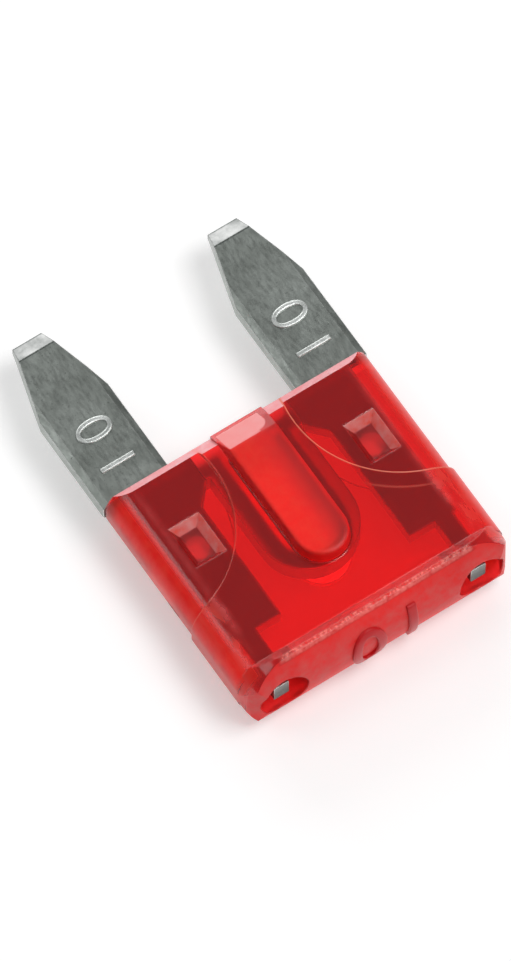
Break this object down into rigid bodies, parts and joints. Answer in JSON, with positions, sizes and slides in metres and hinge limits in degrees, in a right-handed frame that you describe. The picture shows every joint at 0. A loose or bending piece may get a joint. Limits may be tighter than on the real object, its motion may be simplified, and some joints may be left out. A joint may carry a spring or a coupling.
{
  "type": "automotive blade fuse",
  "caption": "Small blade fuse: a translucent red moulded housing with a raised bulge over a thin link, and two flat tapered tabs.",
  "frame": {"origin": "under the middle of the part's box, on the plane it rests on", "axes": "+X across both tabs, +Y from the head towards the tabs' tips, +Z through the thickness"},
  "size_m": [0.011, 0.0163, 0.0036],
  "materials": {
    "red_plastic": "translucent, moulded",
    "zinc": "dull stamped metal"
  },
  "bodies": {
    "root": {"housing": "red_plastic", "fuse_element": "zinc"}
  },
  "joints": []
}
